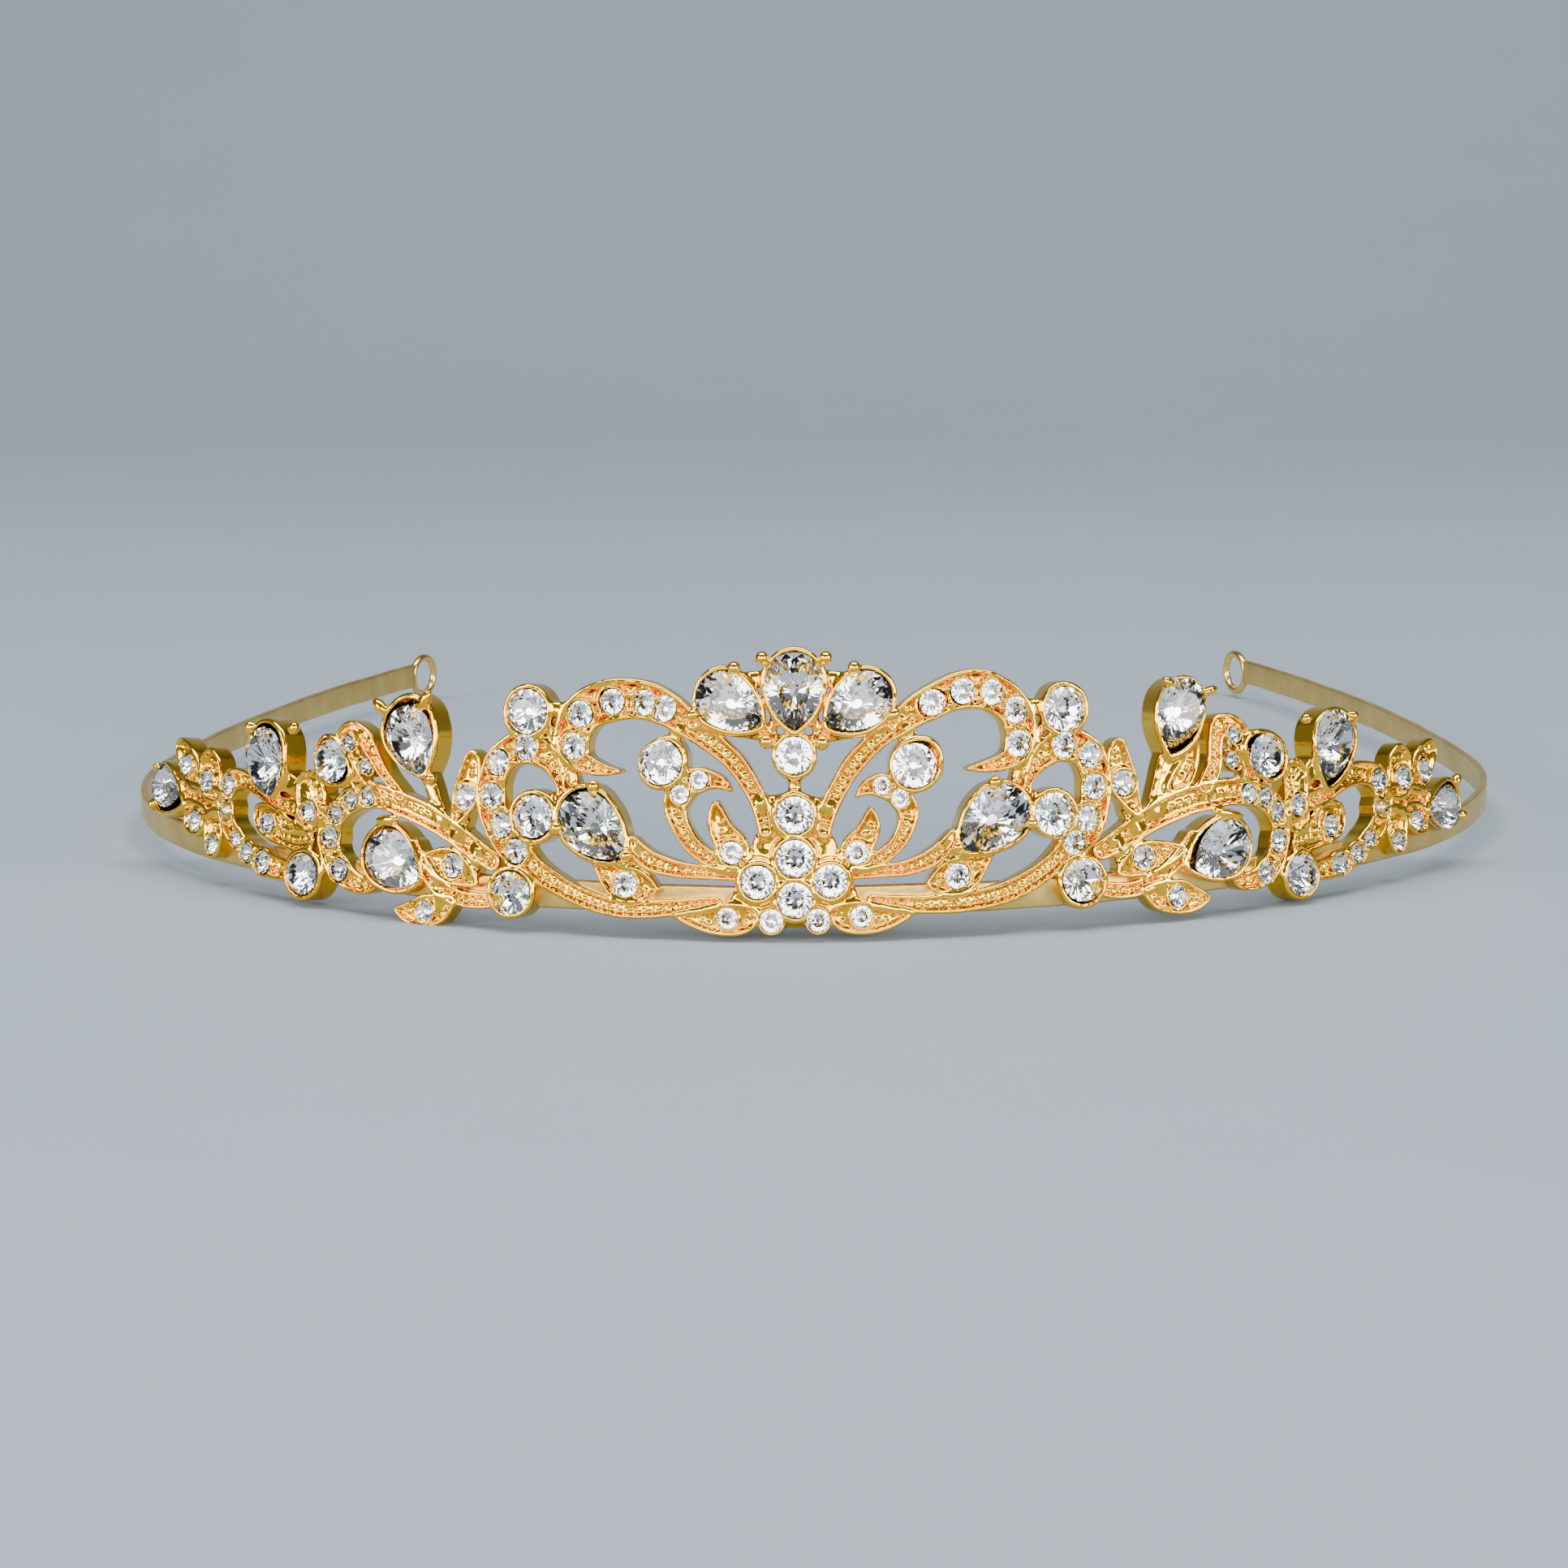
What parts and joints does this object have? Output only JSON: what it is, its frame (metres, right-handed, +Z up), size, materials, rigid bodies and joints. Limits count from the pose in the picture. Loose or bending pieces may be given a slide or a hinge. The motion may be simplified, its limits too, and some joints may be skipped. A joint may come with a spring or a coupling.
{
  "type": "bridal tiara",
  "caption": "Openwork bridal tiara: gilt cast scrolls and leaves set with pear and round foil-backed stones, on a slim open headband with wire end loops.",
  "frame": {"origin": "on the resting plane below the bottom centre of the ornament's front face", "axes": "+Z up, -Y out of the ornament's front, +X to the right as seen from the front"},
  "size_m": [0.1528, 0.1468, 0.0298],
  "materials": {
    "gilt_casting": "polished gold-plated casting",
    "gilt_strip": "satin gold-plated strip",
    "gilt_wire": "polished gold-plated wire",
    "crystal": "faceted clear glass with a foil back"
  },
  "bodies": {
    "root": {"c_scroll_rounds_left": "crystal", "c_scroll_rounds_right": "crystal", "centre_leaf_rounds_left": "crystal", "centre_leaf_rounds_right": "crystal", "centre_scroll_casting": "gilt_casting", "crest_centre_pear": "crystal", "crest_drop_round": "crystal", "crest_pear_left": "crystal", "crest_pear_right": "crystal", "curl_chips_left": "crystal", "curl_chips_right": "crystal", "end_flower_casting_left": "gilt_casting", "end_flower_casting_right": "gilt_casting", "end_flower_rounds_left": "crystal", "end_flower_rounds_right": "crystal", "end_loop_left": "gilt_wire", "end_loop_right": "gilt_wire", "end_pear_left": "crystal", "end_pear_right": "crystal", "headband_strip": "gilt_strip", "hook_chips_left": "crystal", "hook_chips_right": "crystal", "hook_round_left": "crystal", "hook_round_right": "crystal", "hub_lower_round": "crystal", "hub_side_rounds_left": "crystal", "hub_side_rounds_right": "crystal", "hub_upper_round": "crystal", "inner_round_left": "crystal", "inner_round_right": "crystal", "knuckle_round_left": "crystal", "knuckle_round_right": "crystal", "low_side_pear_left": "crystal", "low_side_pear_right": "crystal", "lower_scroll_rounds_left": "crystal", "lower_scroll_rounds_right": "crystal", "lower_side_round_left": "crystal", "lower_side_round_right": "crystal", "rear_pear_left": "crystal", "rear_pear_right": "crystal", "scroll_pear_left": "crystal", "scroll_pear_right": "crystal", "shoulder_round_left": "crystal", "shoulder_round_right": "crystal", "side_leaf_rounds_left": "crystal", "side_leaf_rounds_right": "crystal", "side_scroll_casting_left": "gilt_casting", "side_scroll_casting_right": "gilt_casting", "side_scroll_rounds_left": "crystal", "side_scroll_rounds_right": "crystal", "small_flower_rounds_left": "crystal", "small_flower_rounds_right": "crystal", "stem_round": "crystal", "tall_side_pear_left": "crystal", "tall_side_pear_right": "crystal", "upper_scroll_rounds_left": "crystal", "upper_scroll_rounds_right": "crystal", "upper_side_round_left": "crystal", "upper_side_round_right": "crystal"}
  },
  "joints": []
}
